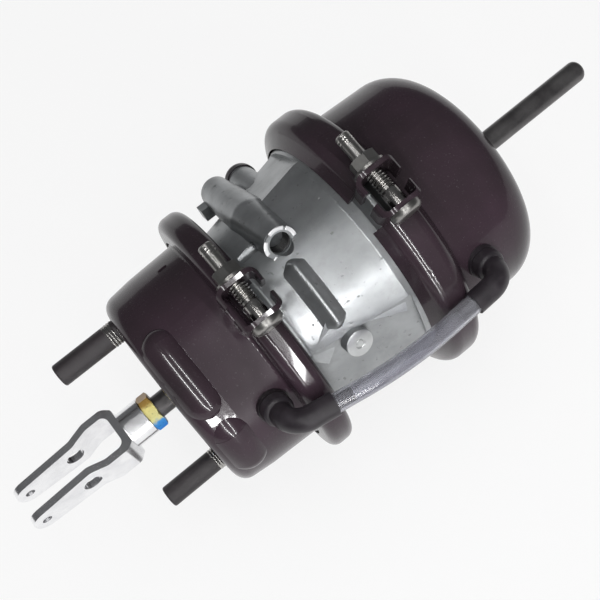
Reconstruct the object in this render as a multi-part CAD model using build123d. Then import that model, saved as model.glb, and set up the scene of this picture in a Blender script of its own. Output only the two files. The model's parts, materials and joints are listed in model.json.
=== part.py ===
from build123d import *
from math import asin, atan, cos, degrees, radians, sin, sqrt, tan
import os

# A piggyback spring brake chamber for a truck axle: a service diaphragm chamber in front, a spring
# chamber behind it, and a cast flange case between them. It is caged: the release bolt holds the
# power spring back, and the pushrod is in.
# The chamber's axis is X. The mounting face is at x = 0, the clevis is on the minus side and the
# release bolt on the plus side. A direction around the axis is an angle from +Z toward +Y.
# All sizes are millimetres.

# Mounting studs and pushrod
stud_spacing = 120.65
stud_radius = 8.0
stud_reach = 47.0
stud_angle = 39.5
stud_neck_radius = 7.5
stud_head_radius = 12.5
stud_head_thickness = 4.5
rod_radius = 7.95

# Steel housings
sheet = 3.0
front_wall_radius = 79.4
front_face_radius = front_wall_radius - 3.9
front_corner = 10.0
front_draft = 1.3
front_draft_run = 25.0
flare_run = 4.0
rear_sheet = 3.5
rear_wall_radius = 87.4
rear_shoulder_radius = rear_wall_radius - 3.6
rear_dome_radius = 180.0
rear_dome_corner = 29.0
rear_end = 271.2
vent_x = 46.0
vent_angle = 32.6
vent_count = 4
vent_length = 7.0
vent_width = 3.5

# Stiffening ribs pressed outward in the front housing, on the side away from the axle
rib_height = 3.6
rib_end_step = 0.2
upper_rib_x = 15.5
upper_rib_radius = 14.0
upper_rib_span = (-3.0, -36.0)
lower_rib_x = 17.0
lower_rib_radius = 15.0
lower_rib_span = (-56.0, -78.0)
swell_x = 46.0
swell_radius = 28.0
swell_height = 4.8
swell_span = (-29.0, -37.0)

# Clamp rings: middle plane, channel outline and steel
front_plane = 70.6
front_crown_radius = front_wall_radius + 17.25
front_crown_half = 8.8
front_base_radius = front_wall_radius + 3.1
front_base_half = 10.5
front_crown_corner = 7.0
rear_plane = 172.2
rear_crown_radius = rear_wall_radius + 15.65
rear_crown_half = 10.0
rear_base_radius = rear_wall_radius + 1.5
rear_base_half = 17.0
rear_crown_corner = 8.5
clamp_wall = 3.0
channel_corner = 1.5
rim_room = 1.5
rim_corner = 1.8
clamp_angle = -16.85
ear_gap = 24.0
ear_thickness = 3.0
ear_width = 29.5
ear_corner = 6.0
ear_rim = 9.0
lip_depth = 8.0
lip_thickness = 3.0

# Clamp bolts
bolt_radius = 4.75
bolt_hole_gap = 0.4
bolt_length = 56.5
bolt_standoff = 10.6
bolt_head_radius = 10.3
bolt_head_thickness = 5.0
nut_across_flats = 15.9
nut_height = 7.3
washer_radius = 10.5
washer_thickness = 1.8

# Cast flange case
case_front_radius = front_wall_radius - 9.4
case_rear_radius = rear_wall_radius - 2.0
case_rear_x = rear_plane - 20.5
case_neck = 1.5
case_wall = 7.5
dish_radius = case_front_radius - 11.5
dish_slope = 8.0
dish_wall = 5.0
web_front = 86.5
web_thickness = 13.0
port_ring_rear = 122.0
port_ring_radius = 50.0
hub_radius = 24.0
hub_length = 11.0

# Cross bosses that hold the air ports
port_x = 110.3
port_radius = 7.25
port_depth = 20.0
port_runout = 9.0      # clear run for a fitting past the near mouth
port_relief = 0.35
port_boss_radius = 11.0
port_boss_swell = 15.0
port_boss_swell_reach = 40.0
port_seat_radius = 10.6
port_seat_height = 1.0
port_passage_radius = 4.0
port_facing = -62.0
port_mouth_out = 80.0
port_mouth_angle = -1.5
port_boss_length = 98.5
spare_port_x = 132.0
spare_boss_length = 107.0
spare_boss_offset = -11.0
spare_boss_cast = 50.0
spare_plug_radius = 12.0
spare_plug_height = 9.0

# Flats, ridges and pads cast on the flange case
case_ridge_x = 107.7
case_ridge_width = 9.0
case_ridge_flat = 1.2
case_ridge_height = 5.0
case_ridge_span = (-13.5, -45.2)
facet_angle = -74.0
facet_sink = 4.6
gable_width = 6.5
gable_height = 4.2
gable_ends = ((86.0, -60.5), (150.0, -57.0))
pad_x = 111.5
pad_angle = -60.3
pad_radius = 9.5
pad_reach = 81.0
upper_flat_angle = 44.0
upper_flat_sink = 4.2
upper_flat_x = 119.0
flat_overrun = 3.5
lug_x = 92.5
lug_width = 9.0
lug_back = 92.0
lug_drop = 4.0

# Rubber diaphragms
diaphragm_thickness = 3.0
service_bead_foot = front_wall_radius + 6.1
skin_room = 4.5
parking_bead_foot = rear_wall_radius + 8.0
parking_skin_set = 7.0

# Service piston and return spring
push_plate_radius = dish_radius - 8.5
push_plate_rim = 8.0
push_hub_length = 9.0
service_spring_wire = 4.5
service_spring_wide = 42.0
service_spring_narrow = 26.0
service_spring_turns = 5.0

# Parking piston, its pushrod and springs
parking_rod_radius = 11.0
foot_radius = 22.0
foot_thickness = 5.5
parking_disc_radius = 44.0
parking_disc_thickness = 4.0
parking_spring_wire = 4.0
parking_spring_radius = 30.0
parking_spring_turns = 6.0
pressure_plate_radius = rear_wall_radius - 23.0
pressure_plate_thickness = 7.0
pressure_plate_rim = 12.0
pressure_hub_radius = 24.0
pressure_hub_length = 26.0
power_wire = 12.0
power_radius = 55.0
power_turns = 4.0
bush_radius = 16.0
seal_width = 4.0
seal_depth = 2.6

# Release bolt, with its nut in the end recess
release_radius = 7.95
release_end = 375.9
release_room = 1.0
release_tip = 5.0
release_head_length = 27.0
release_head_thickness = 8.0
release_nut_flats = 23.8
release_nut_height = 13.5
release_washer_radius = 19.0
release_washer_thickness = 3.0
recess_radius = 24.0

# Clevis, its jam nut and the pushrod's dust seal
clevis_pin_x = -75.0
clevis_pin_radius = 6.5
link_pin_x = -112.0
link_pin_radius = 3.3
clevis_gap = 17.4
clevis_thickness = 5.0
clevis_swell_gap = 25.0
clevis_tip = -120.6
clevis_tip_half = 10.5
clevis_root_half = 15.2
clevis_base_inner = -42.5
clevis_base_outer = -37.5
clevis_barrel_end = -21.5
clevis_barrel_radius = 13.5
jam_flats = 24.0
jam_height = 8.3
seal_bush_radius = 13.0
seal_flange_radius = 17.0
seal_flange_thickness = 1.5

# Breather line between the two chambers' dry sides
breather_rear_angle = -64.5
breather_rear_x = 205.0
elbow_radius = 7.8
elbow_root_radius = 10.2
elbow_bend = 14.0
elbow_foot = 5.0
elbow_collar = 5.0
elbow_root_length = 8.0
elbow_front_out = front_wall_radius + 28.1
elbow_rear_out = rear_wall_radius + 24.5
grommet_radius = 11.0
grommet_sink = 2.2
grommet_thickness = 2.0
tube_radius = 6.3
tube_bore = 4.7
tube_start_x = 74.0
tube_end_x = 178.0
tube_bow = rear_wall_radius + 23.0
spigot_length = 12.0

# Clearances
seat_gap = 0.15
thread_gap = 0.06
slide_gap = 0.05
hole_gap = 0.3
soft_gap = 0.3

os.makedirs("parts", exist_ok=True)


# ---- Helpers ----

def write(name, *solids):
    """Write one node, which may hold several separate solids."""
    export_step(solids[0] if len(solids) == 1 else Compound(children=list(solids)), f"parts/{name}.step")


def outward(angle):
    """The radial direction at an angle around the chamber."""
    return Vector(0, sin(radians(angle)), cos(radians(angle)))


def onAxis(x, radius=0.0, angle=0.0):
    """A point given by its distance along the axis, its radius and its angle."""
    return Vector(x, 0, 0) + outward(angle) * radius


def outwardPlane(x, radius, angle):
    """A plane whose local z points outward, x along the chamber and y toward larger angles."""
    return Plane(origin=onAxis(x, radius, angle), x_dir=(1, 0, 0), z_dir=outward(angle))


def outline(*corners):
    """A closed face from (x, y) or (x, y, fillet) corners."""
    points = [(corner[0], corner[1]) for corner in corners]
    fillets = [corner[2] if len(corner) > 2 else 0 for corner in corners]
    return make_face(FilletPolyline(*points, radius=fillets, close=True))


def turned(face):
    """Revolve a face of (x, radius) about the chamber's axis."""
    return revolve(Plane.XZ * face, Axis.X)


def sector(face, start, end):
    """Revolve a face of (x, radius) between two angles around the chamber."""
    low, high = min(start, end), max(start, end)
    return revolve(Plane.XZ * face, Axis.X, high - low).rotate(Axis.X, -high)


def aroundAxis(solid, angle):
    """Carry a solid from the top to an angle around the chamber."""
    return solid.rotate(Axis.X, -angle)


def tube(x0, x1, outer, inner=0.0):
    """A plain cylinder or sleeve on the chamber's axis."""
    return turned(outline((x0, inner), (x1, inner), (x1, outer), (x0, outer)))


def hexagon(x0, x1, flats, hole):
    """A hexagonal nut on the chamber's axis, with its corners turned down."""
    blank = extrude(Plane.YZ.offset(x0) * RegularPolygon(flats / 2, 6, major_radius=False), x1 - x0)
    corner = flats / sqrt(3)
    turnedDown = corner - flats / 2
    barrel = turned(outline((x0, 0), (x1, 0), (x1, flats / 2), (x1 - turnedDown / 2, corner),
                            (x0 + turnedDown / 2, corner), (x0, flats / 2)))
    return (blank & barrel) - tube(x0 - 1, x1 + 1, hole)


def coil(x0, x1, radius0, radius1, wire, turns):
    """A spring of eight-sided wire on the chamber's axis with ground ends."""
    height = x1 - x0 - wire / 2
    taper = degrees(atan((radius1 - radius0) / height))
    path = Helix(pitch=height / turns, height=height, radius=radius0, center=(x0 + wire / 4, 0, 0),
                 direction=(1, 0, 0), cone_angle=taper)
    section = Plane(origin=path @ 0, z_dir=path % 0) * RegularPolygon(wire / 2, 8)
    wound = sweep(section, path=path, is_frenet=True)
    reach = 2 * max(radius0, radius1)
    return wound & Pos((x0 + x1) / 2, 0, 0) * Box(x1 - x0, reach * 2, reach * 2)


def pipe(points, radii, radius):
    """A round bar along straight runs joined by tangent arcs."""
    path = FilletPolyline(*points, radius=radii)
    return sweep(Plane(origin=path @ 0, z_dir=path % 0) * Circle(radius), path=path)


class Clamp:
    """A clamp ring: the channel's outline, and the room it leaves for the flanges and bead."""

    def __init__(self, plane, crownRadius, crownHalf, baseRadius, baseHalf, corner):
        self.plane, self.crownRadius, self.crownHalf = plane, crownRadius, crownHalf
        self.baseRadius, self.baseHalf, self.corner = baseRadius, baseHalf, corner
        self.slope = (baseHalf - crownHalf) / (crownRadius - baseRadius)
        self.across = sqrt(1 + self.slope ** 2)

    def outerHalf(self, radius):
        return self.baseHalf - (radius - self.baseRadius) * self.slope

    def channelHalf(self, radius):
        return self.outerHalf(radius) - clamp_wall * self.across

    def flangeHalf(self, radius):
        return self.channelHalf(radius) - seat_gap

    def beadHalf(self, radius, wall):
        return self.flangeHalf(radius) - wall * self.across - seat_gap

    @property
    def rimRadius(self):
        return self.crownRadius - clamp_wall - rim_room

    @property
    def boltRadius(self):
        return self.crownRadius + bolt_standoff

    def section(self):
        inner = self.crownRadius - clamp_wall
        return outline(
            (self.plane - self.baseHalf, self.baseRadius),
            (self.plane - self.crownHalf, self.crownRadius, self.corner),
            (self.plane + self.crownHalf, self.crownRadius, self.corner),
            (self.plane + self.baseHalf, self.baseRadius),
            (self.plane + self.channelHalf(self.baseRadius), self.baseRadius),
            (self.plane + self.channelHalf(inner), inner, channel_corner),
            (self.plane - self.channelHalf(inner), inner, channel_corner),
            (self.plane - self.channelHalf(self.baseRadius), self.baseRadius),
        )

    def half(self):
        """The half ring that starts at the bolt angle, with an ear at each end."""
        edge = degrees(asin((ear_gap + ear_thickness) / 2 / self.crownRadius))
        band = sector(self.section(), clamp_angle + edge, clamp_angle + 180 - edge)
        ears = [self.ear(), self.ear().mirror(Plane.XY)]
        halfRing = band + aroundAxis(ears[0], clamp_angle) + aroundAxis(ears[1], clamp_angle)
        hole = Plane.XZ * Pos(self.plane, self.boltRadius) * Circle(bolt_radius + bolt_hole_gap)
        drill = extrude(hole, 2 * self.crownRadius, both=True)
        opposite = drill.mirror(Plane.XY)
        return halfRing - aroundAxis(drill, clamp_angle) - aroundAxis(opposite, clamp_angle)

    def ear(self):
        """One ear at the top, on the +Y side of the gap: a plate with lips turned to its partner."""
        low, high = self.crownRadius - clamp_wall * 0.6, self.boltRadius + ear_rim
        half, near, far = ear_width / 2, ear_gap / 2, ear_gap / 2 + ear_thickness
        tip, inside = near - lip_depth, half - lip_thickness
        channel = outline(
            (-half, tip), (-half, far, ear_corner), (half, far, ear_corner), (half, tip),
            (inside, tip), (inside, near, ear_corner - lip_thickness),
            (-inside, near, ear_corner - lip_thickness), (-inside, tip))
        formed = extrude(Plane.XY.offset(low) * Pos(self.plane, 0) * channel, high - low)
        face = outline((-half, low), (half, low), (half, high, ear_rim), (-half, high, ear_rim))
        return formed & extrude(Plane.XZ * Pos(self.plane, 0) * face, self.crownRadius, both=True)

    def upper(self):
        return self.half()

    def lower(self):
        return self.half().rotate(Axis.X, 180)

    def pair(self, solid):
        """A solid made at the top carried to both clamp joints."""
        return aroundAxis(solid, clamp_angle), aroundAxis(solid, clamp_angle + 180)

    def boltPlane(self, y):
        return Plane(origin=(self.plane, y, self.boltRadius), x_dir=(1, 0, 0), z_dir=(0, 1, 0))

    def bolts(self):
        under = -(ear_gap / 2 + ear_thickness)
        shank = extrude(self.boltPlane(under) * Circle(bolt_radius), bolt_length)
        shank = chamfer(shank.edges().sort_by(Axis.Y)[-1], 0.8)
        head = extrude(self.boltPlane(under) * Circle(bolt_head_radius), -bolt_head_thickness)
        head = fillet(head.edges().sort_by(Axis.Y)[0], bolt_head_thickness * 0.7)
        return self.pair(shank + head)

    def washers(self):
        top = ear_gap / 2 + ear_thickness
        ring = Circle(washer_radius) - Circle(bolt_radius + hole_gap)
        return self.pair(extrude(self.boltPlane(top) * ring, washer_thickness))

    def nuts(self):
        top = ear_gap / 2 + ear_thickness + washer_thickness
        nut = hexagon(0, nut_height, nut_across_flats, bolt_radius + thread_gap)
        return self.pair(self.boltPlane(top) * nut.rotate(Axis.Y, -90))


frontClamp = Clamp(front_plane, front_crown_radius, front_crown_half, front_base_radius,
                   front_base_half, front_crown_corner)
rearClamp = Clamp(rear_plane, rear_crown_radius, rear_crown_half, rear_base_radius,
                  rear_base_half, rear_crown_corner)


# ---- Places worked out from the sizes ----

diaphragm_front = web_front - diaphragm_thickness - 1.5
push_plate_rear = diaphragm_front - soft_gap
push_plate_front = push_plate_rear - sheet
foot_front = diaphragm_front + diaphragm_thickness + soft_gap
foot_rear = foot_front + foot_thickness
foot_pocket = foot_rear + 1.5
hub_rear = web_front + web_thickness + hub_length
parking_skin_front = rear_plane + parking_skin_set
parking_disc_front = parking_skin_front - soft_gap - parking_disc_thickness
plate_front = parking_skin_front + diaphragm_thickness + soft_gap
plate_rear = plate_front + pressure_plate_thickness
recess_floor = rear_end - release_nut_height - release_washer_thickness - 1.5
breather_angle = vent_angle - 360 / vent_count


# ---- Housings ----

def ribAround(x, wallRadius, height, radius, span):
    """A round-backed rib along part of a turn, with domed ends."""
    centre = wallRadius + height - radius
    back = sector(Pos(x, centre) * Circle(radius), *span)
    for angle in span:
        back += Pos(*onAxis(x, centre, angle)) * Sphere(radius - rib_end_step)
    return back


def frontHousing():
    flange = frontClamp
    foot = service_bead_foot - sheet
    bead = flange.plane - flange.beadHalf(service_bead_foot, sheet)
    rim = flange.plane - flange.beadHalf(flange.rimRadius, sheet)
    outer = outline(
        (0, 0), (0, front_face_radius, front_corner), (front_draft_run, front_wall_radius - front_draft),
        (flange.plane - flange.flangeHalf(foot) - flare_run, front_wall_radius, 3.0),
        (flange.plane - flange.flangeHalf(foot), foot, 1.5),
        (flange.plane - flange.flangeHalf(flange.rimRadius), flange.rimRadius, rim_corner),
        (flange.plane, flange.rimRadius), (flange.plane, 0))
    inner = outline(
        (sheet, 0), (sheet, front_face_radius - sheet, front_corner - sheet),
        (front_draft_run, front_wall_radius - front_draft - sheet),
        (bead - flare_run, front_wall_radius - sheet, 5.0), (bead, service_bead_foot),
        (rim, flange.rimRadius), (rim, flange.rimRadius + 2),
        (flange.plane + 5, flange.rimRadius + 2), (flange.plane + 5, 0))
    body = turned(outer)
    drawn = front_wall_radius - front_draft
    body += ribAround(upper_rib_x, drawn, rib_height, upper_rib_radius, upper_rib_span)
    body += ribAround(lower_rib_x, drawn, rib_height, lower_rib_radius, lower_rib_span)
    body += ribAround(swell_x, front_wall_radius, swell_height, swell_radius, swell_span)
    body -= turned(inner)
    body -= tube(-1, sheet + 1, seal_bush_radius + hole_gap)
    for side in (0, 180):
        centre = onAxis(0, stud_spacing / 2, stud_angle + side)
        body -= Pos(*centre) * Rot(0, 90, 0) * Cylinder(stud_neck_radius + seat_gap, 4 * sheet)
    for turn in range(vent_count):
        place = outwardPlane(vent_x, front_wall_radius, breather_angle + turn * 360 / vent_count)
        shape = SlotOverall(vent_length, vent_width) if turn else Circle(elbow_radius)
        body -= extrude(place * shape, 3 * sheet, both=True)
    return body


def domed(inset, *wall):
    """A pressed shell's half section: the wall's corners, then a rounded corner into a shallow dome."""
    past = rear_end + rear_dome_corner
    drop = (past - rear_plane) / (rear_end - rear_plane) * (rear_wall_radius - rear_shoulder_radius)
    face = outline(*wall, (past, rear_wall_radius - drop - inset), (past, 0))
    face &= Pos(rear_end - rear_dome_radius, 0) * Circle(rear_dome_radius - inset)
    corner = face.vertices().sort_by(lambda vertex: vertex.X + vertex.Y)[-1]
    return fillet(corner, rear_dome_corner - inset)


def springHousing():
    flange = rearClamp
    start = flange.plane + flange.flangeHalf(rear_wall_radius)
    bead = flange.plane + flange.beadHalf(flange.rimRadius, rear_sheet)
    body = turned(domed(
        0, (flange.plane, 0), (flange.plane, flange.rimRadius),
        (flange.plane + flange.flangeHalf(flange.rimRadius), flange.rimRadius, rim_corner),
        (start, rear_wall_radius, 1.5)))
    body -= turned(domed(
        rear_sheet, (flange.plane - 1, 0), (flange.plane - 1, flange.rimRadius + 2),
        (bead, flange.rimRadius + 2), (bead, flange.rimRadius),
        (flange.plane + flange.beadHalf(rear_wall_radius, rear_sheet), rear_wall_radius),
        (start - rear_sheet / 2, rear_wall_radius - rear_sheet, 3.0)))
    recess = recess_radius + rear_sheet
    drop = rear_dome_radius - sqrt(rear_dome_radius ** 2 - recess ** 2)
    body += tube(recess_floor - rear_sheet, rear_end - drop - 1, recess)
    body -= turned(outline((recess_floor, 0), (recess_floor, recess_radius, 3.0),
                           (rear_end + 1, recess_radius), (rear_end + 1, 0)))
    body -= tube(recess_floor - rear_sheet - 1, rear_end, release_radius + release_room)
    place = outwardPlane(breather_rear_x, rear_wall_radius, breather_rear_angle)
    body -= extrude(place * Circle(elbow_radius), 4 * rear_sheet, both=True)
    return body


# ---- Flange case ----

def crossBoss(x, offset):
    """The near mouth of a boss cast across the case, and the direction from it to the far one."""
    near = onAxis(x, port_mouth_out, port_mouth_angle) + outward(port_facing + 90) * offset
    away = outward(port_facing) * -1
    return near, away


def drill(point, away, radius, depth):
    """A round bar from a mouth into the case."""
    return extrude(Plane(origin=point, z_dir=away) * Circle(radius), depth)


def caseRadius(x):
    """The outer radius of the case's cone at a place along it."""
    start = front_plane + frontClamp.flangeHalf(front_base_radius)
    share = (x - start) / (case_rear_x - start)
    return case_front_radius + share * (case_rear_radius - case_front_radius)


def bar(point0, point1, width, height):
    """A triangular ridge from one point on the case to another, its crest outward."""
    run = point1 - point0
    middle = (point0 + point1) * 0.5
    up = Vector(0, middle.Y, middle.Z).normalized()
    start = Plane(origin=point0 - up * height, x_dir=run.cross(up), z_dir=run)
    flat = case_ridge_flat
    crest = outline((-width, -height), (width, -height), (flat, height * 2, 0.8), (-flat, height * 2, 0.8))
    return extrude(start * crest, run.length)


def flangeCase():
    front, rear = frontClamp, rearClamp
    neckX = front.plane + front.flangeHalf(front_base_radius)
    outer = outline(
        (front.plane, 0), (front.plane, front.rimRadius),
        (front.plane + front.flangeHalf(front.rimRadius), front.rimRadius, rim_corner),
        (neckX, front_base_radius, 1.0), (neckX + case_neck, case_front_radius, 4.0),
        (case_rear_x, case_rear_radius, 4.0),
        (rear.plane - rear.flangeHalf(rear_base_radius), rear_base_radius, 1.0),
        (rear.plane - rear.flangeHalf(rear.rimRadius), rear.rimRadius, rim_corner),
        (rear.plane, rear.rimRadius), (rear.plane, 0))
    body = turned(outer)

    # Flats, ridges, pads and bosses outside
    slope = degrees(atan((case_rear_radius - case_front_radius) / (case_rear_x - neckX)))
    for angle, sink, fromX in ((facet_angle, facet_sink, neckX + case_neck + 1),
                               (upper_flat_angle, upper_flat_sink, upper_flat_x)):
        reach = case_rear_x + flat_overrun - fromX
        place = outwardPlane(fromX, caseRadius(fromX) - sink, angle) * Rot(0, -slope, 0)
        body -= place * Pos(reach / 2, 0, case_wall * 2) * Box(reach, 1.4 * case_rear_radius, case_wall * 4)
    crest = caseRadius(case_ridge_x)
    body += sector(outline(
        (case_ridge_x - case_ridge_width, crest - 4), (case_ridge_x + case_ridge_width, crest - 4),
        (case_ridge_x + case_ridge_flat, crest + case_ridge_height, 0.8),
        (case_ridge_x - case_ridge_flat, crest + case_ridge_height, 0.8)), *case_ridge_span)
    apex = onAxis(case_ridge_x, crest, case_ridge_span[1])
    for x, angle in gable_ends:
        body += bar(apex, onAxis(x, caseRadius(x) - 1, angle), gable_width, gable_height)
    body += drill(onAxis(pad_x, pad_reach, pad_angle), outward(pad_angle) * -1, pad_radius, 18)
    near, away = crossBoss(port_x, 0)
    far = near + away * port_boss_length
    lugEnd = near + away * lug_back + outward(port_facing + 90) * -lug_drop
    lugPlane = Plane(origin=(lug_x, lugEnd.Y, lugEnd.Z), x_dir=away, z_dir=(1, 0, 0))
    body += extrude(lugPlane * Rectangle(lug_width, lug_width), port_x - lug_x)
    boss = turned(outline((0, 0), (0, port_boss_radius), (port_boss_swell_reach, port_boss_swell, 12.0),
                          (port_boss_length, port_boss_radius), (port_boss_length, 0)))
    body += Plane(origin=near, x_dir=away, z_dir=(1, 0, 0)) * boss
    body += drill(near + away * -port_seat_height, away, port_seat_radius, port_seat_height * 2)
    spare, spareAway = crossBoss(spare_port_x, spare_boss_offset)
    spareMouth = spare + spareAway * spare_boss_length
    body += drill(spareMouth, spareAway * -1, port_boss_radius, spare_boss_cast)

    # Front dish, rear chamber and the bored hub between them
    dish = outline(
        (front.plane - 1, 0), (front.plane - 1, front.rimRadius + 2),
        (front.plane + front.beadHalf(front.rimRadius, sheet), front.rimRadius + 2),
        (front.plane + front.beadHalf(front.rimRadius, sheet), front.rimRadius),
        (front.plane + front.beadHalf(service_bead_foot, sheet), service_bead_foot),
        (neckX + case_neck - dish_wall, dish_radius + dish_slope, 3.0), (web_front, dish_radius, 3.0),
        (web_front, foot_radius + 2, 1.0), (foot_pocket, foot_radius + 2),
        (foot_pocket, 0))
    chamber = outline(
        (rear.plane + 1, 0), (rear.plane + 1, rear.rimRadius + 2),
        (rear.plane - rear.beadHalf(rear.rimRadius, rear_sheet), rear.rimRadius + 2),
        (rear.plane - rear.beadHalf(rear.rimRadius, rear_sheet), rear.rimRadius),
        (rear.plane - rear.beadHalf(parking_bead_foot, rear_sheet), parking_bead_foot, 1.0),
        (case_rear_x + 6, case_rear_radius - case_wall + 1, 6.0),
        (port_ring_rear, caseRadius(port_ring_rear) - case_wall - 2, 6.0),
        (port_ring_rear, port_ring_radius, 3.0),
        (web_front + web_thickness, port_ring_radius - 5, 4.0), (web_front + web_thickness, hub_radius, 3.0),
        (hub_rear, hub_radius, 1.5), (hub_rear, 0))
    body -= turned(dish)
    body -= turned(chamber)
    body -= tube(foot_pocket - 1, hub_rear + 1, parking_rod_radius + 1.0)
    body -= tube(foot_pocket + 3, hub_rear + 1, bush_radius + seat_gap)

    # Air ports and the passages that lead from them into the chambers
    body -= drill(near, away, port_radius, port_depth)
    body -= drill(near - away * port_runout, away, port_radius + port_relief, port_runout)
    body -= drill(far + away, away * -1, port_radius, port_depth + 1)
    body -= drill(spareMouth + spareAway, spareAway * -1, port_radius, port_depth + 1)
    passageDepth = port_depth - 1.5 * port_passage_radius
    nearEnd = near + away * passageDepth
    farEnd = far - away * passageDepth
    body -= drill(nearEnd, (-1, 0, 0), port_passage_radius, nearEnd.X - web_front + 1)
    body -= drill(farEnd, (1, 0, 0), port_passage_radius, port_ring_rear - farEnd.X + 1)
    return body


def portPlug():
    spare, away = crossBoss(spare_port_x, spare_boss_offset)
    mouth = spare + away * (spare_boss_length + seat_gap)
    cap = drill(mouth, away, spare_plug_radius, spare_plug_height)
    rim = cap.edges().sort_by(lambda edge: (edge.center() - mouth).dot(away))[-1]
    cap = fillet(rim, spare_plug_height * 0.7)
    return cap + drill(mouth + away * 1, away * -1, port_radius - seat_gap, port_depth * 0.6)


# ---- Service chamber ----

def serviceDiaphragm():
    flange = frontClamp
    rim = flange.rimRadius - seat_gap
    foot = service_bead_foot + 0.5
    half = diaphragm_thickness / 2
    inner, outer = dish_radius - skin_room, dish_radius + skin_room
    rear = diaphragm_front + diaphragm_thickness
    return turned(outline(
        (diaphragm_front, 0), (diaphragm_front, inner, 4.0), (flange.plane - half, outer, 4.0),
        (flange.plane - half, foot - half), (flange.plane - flange.beadHalf(foot, sheet), foot),
        (flange.plane - flange.beadHalf(rim, sheet), rim), (flange.plane + flange.beadHalf(rim, sheet), rim),
        (flange.plane + flange.beadHalf(foot, sheet), foot), (flange.plane + half, foot - half),
        (flange.plane + half, outer + half, 4.0), (rear, inner + half, 4.0), (rear, 0)))


def pushPlate():
    rim = push_plate_radius
    return turned(outline(
        (push_plate_rear, rod_radius + slide_gap), (push_plate_rear, rim, 4.0),
        (push_plate_rear - push_plate_rim, rim), (push_plate_rear - push_plate_rim, rim - sheet),
        (push_plate_front, rim - sheet, 2.0), (push_plate_front, rod_radius * 2, 1.0),
        (push_plate_front - push_hub_length, rod_radius * 1.5),
        (push_plate_front - push_hub_length, rod_radius + slide_gap)))


def pushrod():
    end = clevis_base_inner + 1.5
    return turned(outline(
        (end, 0), (end, rod_radius, 0.8), (push_plate_rear, rod_radius), (push_plate_rear, 0)))


def dustSeal():
    inner = rod_radius + slide_gap
    outer = seal_flange_radius
    return turned(outline(
        (-seal_flange_thickness, inner), (-seal_flange_thickness, outer - 1, 1.0), (-soft_gap / 2, outer),
        (-soft_gap / 2, seal_bush_radius), (sheet + soft_gap / 2, seal_bush_radius),
        (sheet + soft_gap / 2, outer), (sheet + seal_flange_thickness + 1, outer - 2, 1.0),
        (sheet + seal_flange_thickness + 1, inner)))


def mountingStuds():
    studs = []
    for side in (0, 180):
        centre = onAxis(0, stud_spacing / 2, stud_angle + side)
        shank = Pos(*centre) * turned(outline(
            (-stud_reach, 0), (-stud_reach, stud_radius, 1.5), (0, stud_radius),
            (0, stud_neck_radius), (sheet + 1, stud_neck_radius), (sheet + 1, 0)))
        head = Pos(*centre) * tube(sheet + thread_gap, sheet + stud_head_thickness, stud_head_radius)
        head &= tube(0, front_plane, front_face_radius - front_corner)
        studs.append(shank + head)
    return studs


# ---- Clevis ----

def clevisHalfWidth():
    """The clevis seen from its side, as a face of (x, z)."""
    return outline(
        (clevis_tip, 0, 0), (clevis_tip, clevis_tip_half, clevis_tip_half * 0.95),
        (clevis_pin_x + 8, clevis_root_half, 8.0), (clevis_base_inner - 3, clevis_root_half, 4.0),
        (clevis_base_outer, clevis_barrel_radius, 2.0), (clevis_barrel_end, clevis_barrel_radius),
        (clevis_barrel_end, -clevis_barrel_radius), (clevis_base_outer, -clevis_barrel_radius, 2.0),
        (clevis_base_inner - 3, -clevis_root_half, 4.0), (clevis_pin_x + 8, -clevis_root_half, 8.0),
        (clevis_tip, -clevis_tip_half, clevis_tip_half * 0.95))


def clevis():
    inner, swell = clevis_gap / 2, clevis_swell_gap / 2
    outer, swellOuter = inner + clevis_thickness, swell + clevis_thickness
    bendX, swellX = clevis_pin_x + 4, clevis_pin_x + 17
    strap = outline(
        (clevis_tip, outer), (bendX, outer, 12.0), (swellX, swellOuter, 8.0),
        (clevis_base_inner, swellOuter, 7.0),
        (clevis_base_outer, clevis_barrel_radius, 2.0), (clevis_base_outer, -clevis_barrel_radius, 2.0),
        (clevis_base_inner, -swellOuter, 7.0), (swellX, -swellOuter, 8.0), (bendX, -outer, 12.0),
        (clevis_tip, -outer), (clevis_tip, -inner), (bendX, -inner, 8.0), (swellX, -swell, 12.0),
        (clevis_base_inner, -swell, 5.0), (clevis_base_inner, swell, 5.0), (swellX, swell, 12.0),
        (bendX, inner, 8.0), (clevis_tip, inner))
    plan = extrude(strap, clevis_root_half + 1, both=True)
    side = extrude(Plane.XZ * clevisHalfWidth(), swellOuter + 1, both=True)
    body = plan & side
    body += tube(clevis_base_outer - 2, clevis_barrel_end, clevis_barrel_radius)
    body -= tube(clevis_base_inner - 1, clevis_barrel_end + 1, rod_radius + thread_gap)
    for x, radius in ((clevis_pin_x, clevis_pin_radius), (link_pin_x, link_pin_radius)):
        body -= Pos(x, 0, 0) * Rot(90, 0, 0) * Cylinder(radius, 3 * swellOuter)
    return body


def jamNut():
    start = clevis_barrel_end + seat_gap
    return hexagon(start, start + jam_height, jam_flats, rod_radius + thread_gap).rotate(Axis.X, 12)


# ---- Parking chamber ----

def parkingFoot():
    inner = parking_rod_radius - 3 + thread_gap
    return turned(outline(
        (foot_front, 0), (foot_front, foot_radius, 2.0), (foot_rear - 1, foot_radius, 1.5),
        (foot_rear, foot_radius - 5),
        (foot_rear, inner), (foot_front + 1.5, inner), (foot_front + 1.5, 0)))


def parkingPushrod():
    neck = parking_rod_radius - 3
    disc = parking_disc_front
    return turned(outline(
        (foot_front + 1.5 + seat_gap, 0), (foot_front + 1.5 + seat_gap, neck), (foot_rear + seat_gap, neck),
        (foot_rear + seat_gap, parking_rod_radius), (disc - 4, parking_rod_radius, 3.0),
        (disc, parking_rod_radius * 1.5), (disc, parking_disc_radius - 3),
        (disc - 3, parking_disc_radius, 1.5),
        (disc + parking_disc_thickness, parking_disc_radius, 1.5), (disc + parking_disc_thickness, 0)))


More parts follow.
